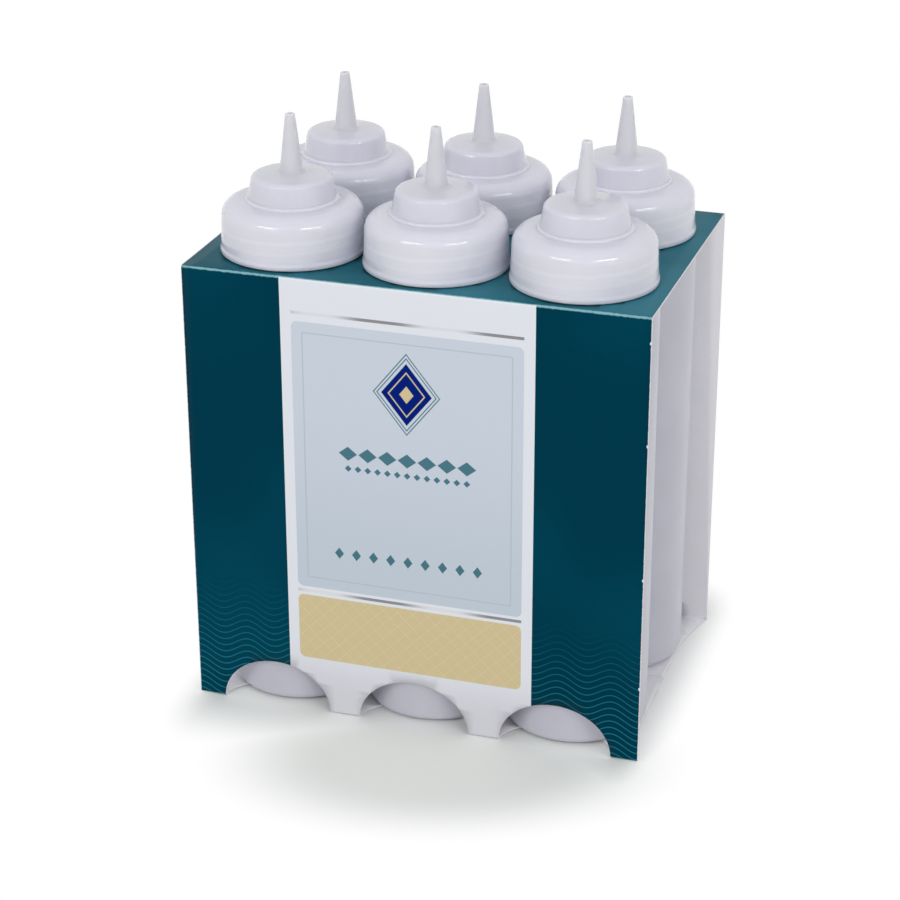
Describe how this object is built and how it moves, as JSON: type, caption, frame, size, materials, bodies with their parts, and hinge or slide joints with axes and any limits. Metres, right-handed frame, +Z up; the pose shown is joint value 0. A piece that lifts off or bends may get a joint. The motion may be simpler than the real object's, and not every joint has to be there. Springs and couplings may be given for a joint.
{
  "type": "squeeze bottle multipack",
  "caption": "Open-sided card sleeve holding two rows of round squeeze bottles, each closed by a stepped screw cap with a dispensing cone.",
  "frame": {"origin": "middle of the sleeve's base, on the surface the pack stands on", "axes": "+Z up, +X to the right along the long side as seen from the front, -Y out of the printed front panel"},
  "size_m": [0.2214, 0.149, 0.2878],
  "materials": {
    "printed_card": "dark teal gloss print on white board",
    "plain_card": "matt, unprinted",
    "bottle_shell": "milky translucent polyethylene",
    "cap_plastic": "milky translucent polyethylene, satin gloss",
    "seal_foil": "thin sealing foil"
  },
  "bodies": {
    "card_sleeve": {"sleeve_front_panel": "printed_card", "sleeve_rear_panel": "printed_card", "sleeve_top_panel": "printed_card", "sleeve_bottom_front_flap": "plain_card", "sleeve_bottom_rear_flap": "plain_card"},
    "bottle_front_left_body": {"bottle_front_left": "bottle_shell", "foil_seal_front_left": "seal_foil"},
    "cap_front_left_body": {"cone_cap_front_left": "cap_plastic"},
    "bottle_front_middle_body": {"bottle_front_middle": "bottle_shell", "foil_seal_front_middle": "seal_foil"},
    "cap_front_middle_body": {"cone_cap_front_middle": "cap_plastic"},
    "bottle_front_right_body": {"bottle_front_right": "bottle_shell", "foil_seal_front_right": "seal_foil"},
    "cap_front_right_body": {"cone_cap_front_right": "cap_plastic"},
    "bottle_rear_left_body": {"bottle_rear_left": "bottle_shell", "foil_seal_rear_left": "seal_foil"},
    "cap_rear_left_body": {"cone_cap_rear_left": "cap_plastic"},
    "bottle_rear_middle_body": {"bottle_rear_middle": "bottle_shell", "foil_seal_rear_middle": "seal_foil"},
    "cap_rear_middle_body": {"cone_cap_rear_middle": "cap_plastic"},
    "bottle_rear_right_body": {"bottle_rear_right": "bottle_shell", "foil_seal_rear_right": "seal_foil"},
    "cap_rear_right_body": {"cone_cap_rear_right": "cap_plastic"}
  },
  "joints": [
    {"name": "bottle_spin_front_left", "type": "hinge", "parent": "card_sleeve", "child": "bottle_front_left_body", "pos_m": [-0.07, -0.0365, 0], "axis": [0, 0, -1], "range_deg": [0, 720]},
    {"name": "cap_rise_front_left", "type": "slide", "parent": "card_sleeve", "child": "cap_front_left_body", "axis": [0, 0, 1], "range_m": [0, 0.01]},
    {"name": "bottle_spin_front_middle", "type": "hinge", "parent": "card_sleeve", "child": "bottle_front_middle_body", "pos_m": [0, -0.0365, 0], "axis": [0, 0, -1], "range_deg": [0, 720]},
    {"name": "cap_rise_front_middle", "type": "slide", "parent": "card_sleeve", "child": "cap_front_middle_body", "axis": [0, 0, 1], "range_m": [0, 0.01]},
    {"name": "bottle_spin_front_right", "type": "hinge", "parent": "card_sleeve", "child": "bottle_front_right_body", "pos_m": [0.07, -0.0365, 0], "axis": [0, 0, -1], "range_deg": [0, 720]},
    {"name": "cap_rise_front_right", "type": "slide", "parent": "card_sleeve", "child": "cap_front_right_body", "axis": [0, 0, 1], "range_m": [0, 0.01]},
    {"name": "bottle_spin_rear_left", "type": "hinge", "parent": "card_sleeve", "child": "bottle_rear_left_body", "pos_m": [-0.07, 0.0365, 0], "axis": [0, 0, -1], "range_deg": [0, 720]},
    {"name": "cap_rise_rear_left", "type": "slide", "parent": "card_sleeve", "child": "cap_rear_left_body", "axis": [0, 0, 1], "range_m": [0, 0.01]},
    {"name": "bottle_spin_rear_middle", "type": "hinge", "parent": "card_sleeve", "child": "bottle_rear_middle_body", "pos_m": [0, 0.0365, 0], "axis": [0, 0, -1], "range_deg": [0, 720]},
    {"name": "cap_rise_rear_middle", "type": "slide", "parent": "card_sleeve", "child": "cap_rear_middle_body", "axis": [0, 0, 1], "range_m": [0, 0.01]},
    {"name": "bottle_spin_rear_right", "type": "hinge", "parent": "card_sleeve", "child": "bottle_rear_right_body", "pos_m": [0.07, 0.0365, 0], "axis": [0, 0, -1], "range_deg": [0, 720]},
    {"name": "cap_rise_rear_right", "type": "slide", "parent": "card_sleeve", "child": "cap_rear_right_body", "axis": [0, 0, 1], "range_m": [0, 0.01]}
  ],
  "couplings": [
    {"joint": "cap_rise_front_left", "follows": "bottle_spin_front_left", "m_per_rad": 0.00079577},
    {"joint": "cap_rise_front_middle", "follows": "bottle_spin_front_middle", "m_per_rad": 0.00079577},
    {"joint": "cap_rise_front_right", "follows": "bottle_spin_front_right", "m_per_rad": 0.00079577},
    {"joint": "cap_rise_rear_left", "follows": "bottle_spin_rear_left", "m_per_rad": 0.00079577},
    {"joint": "cap_rise_rear_middle", "follows": "bottle_spin_rear_middle", "m_per_rad": 0.00079577},
    {"joint": "cap_rise_rear_right", "follows": "bottle_spin_rear_right", "m_per_rad": 0.00079577}
  ]
}
